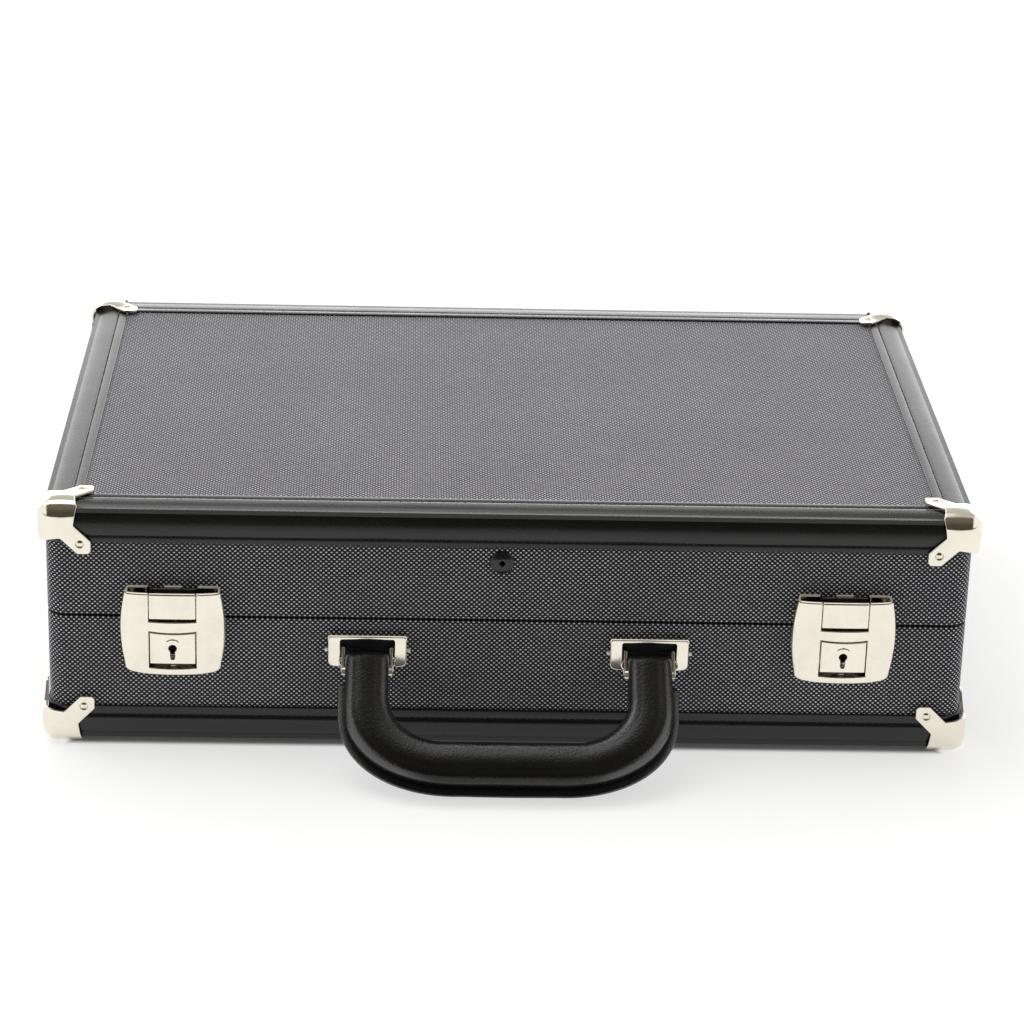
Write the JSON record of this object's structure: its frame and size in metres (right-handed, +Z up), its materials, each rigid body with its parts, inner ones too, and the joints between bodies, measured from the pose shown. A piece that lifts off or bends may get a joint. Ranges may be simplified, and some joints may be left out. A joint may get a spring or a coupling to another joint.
{
  "type": "poker chip case",
  "caption": "Hard fabric-covered case with bound edges, metal corner caps, two key latches, a hinged lid, a swinging carry handle and trays for chips and cards.",
  "frame": {"origin": "centre of the underside panel's outer face", "axes": "+X along the width, to the right seen from the front; +Y from the front to the hinges; +Z up, towards the lid"},
  "size_m": [0.4254, 0.3501, 0.1186],
  "materials": {
    "woven_cover": "grey and black woven covering glued on board",
    "binding": "black leather-like binding, satin, with a sewn line",
    "nickel": "bright nickel plate with fine wear",
    "steel": "plain steel",
    "handle_leather": "black pebbled moulding, satin",
    "black_plastic": "moulded black plastic",
    "flock": "black flocked moulding",
    "foam": "dark grey profiled foam"
  },
  "bodies": {
    "case_body": {"body_frame": "woven_cover", "bottom_panel": "woven_cover", "body_trim_front": "binding", "body_trim_back": "binding", "body_trim_left": "binding", "body_trim_right": "binding", "closing_lip": "steel", "floor_lining": "flock", "chip_tray": "flock", "accessory_tray": "flock", "cap_body_front_left": "nickel", "cap_body_front_right": "nickel", "cap_body_back_left": "nickel", "cap_body_back_right": "nickel", "hinge_body_leaf_left": "nickel", "hinge_body_leaf_right": "nickel", "hinge_pin_left": "steel", "hinge_pin_right": "steel", "latch_cover_left": "nickel", "latch_cover_right": "nickel", "latch_base_left": "steel", "latch_base_right": "steel", "latch_spring_left": "steel", "latch_spring_right": "steel", "handle_plate_left": "nickel", "handle_plate_right": "nickel", "handle_pin_left": "steel", "handle_pin_right": "steel"},
    "lid": {"lid_frame": "woven_cover", "lid_panel": "woven_cover", "lid_trim_front": "binding", "lid_trim_back": "binding", "lid_trim_left": "binding", "lid_trim_right": "binding", "lid_foam": "foam", "front_plug": "black_plastic", "cap_lid_front_left": "nickel", "cap_lid_front_right": "nickel", "cap_lid_back_left": "nickel", "cap_lid_back_right": "nickel", "hinge_lid_leaf_left": "nickel", "hinge_lid_leaf_right": "nickel", "latch_leaf_left": "nickel", "latch_leaf_right": "nickel", "latch_pin_left": "steel", "latch_pin_right": "steel"},
    "handle": {"handle_front": "handle_leather", "handle_back": "handle_leather", "handle_core": "steel"},
    "flap_left": {"latch_flap_left": "nickel"},
    "button_left": {"latch_button_left": "nickel"},
    "plug_left": {"lock_plug_left": "steel"},
    "flap_right": {"latch_flap_right": "nickel"},
    "button_right": {"latch_button_right": "nickel"},
    "plug_right": {"lock_plug_right": "steel"}
  },
  "joints": [
    {"name": "lid_hinge", "type": "hinge", "parent": "case_body", "child": "lid", "pos_m": [0, 0.1446, 0.0609], "axis": [-1, 0, 0], "range_deg": [0, 100]},
    {"name": "handle_swing", "type": "hinge", "parent": "case_body", "child": "handle", "pos_m": [0, -0.1437, 0.0465], "axis": [-1, 0, 0], "range_deg": [-14, 56]},
    {"name": "flap_left_swing", "type": "hinge", "parent": "lid", "child": "flap_left", "pos_m": [-0.1524, -0.1434, 0.0744], "axis": [-1, 0, 0], "range_deg": [0, 95]},
    {"name": "button_left_slide", "type": "slide", "parent": "case_body", "child": "button_left", "axis": [0, 0, -1], "range_m": [0, 0.002], "deforming": ["latch_spring_left"]},
    {"name": "key_left_turn", "type": "hinge", "parent": "button_left", "child": "plug_left", "pos_m": [-0.1524, -0.14605, 0.0484], "axis": [0, -1, 0], "range_deg": [0, 90]},
    {"name": "flap_right_swing", "type": "hinge", "parent": "lid", "child": "flap_right", "pos_m": [0.1524, -0.1434, 0.0744], "axis": [-1, 0, 0], "range_deg": [0, 95]},
    {"name": "button_right_slide", "type": "slide", "parent": "case_body", "child": "button_right", "axis": [0, 0, -1], "range_m": [0, 0.002], "deforming": ["latch_spring_right"]},
    {"name": "key_right_turn", "type": "hinge", "parent": "button_right", "child": "plug_right", "pos_m": [0.1524, -0.14605, 0.0484], "axis": [0, -1, 0], "range_deg": [0, 90]}
  ]
}
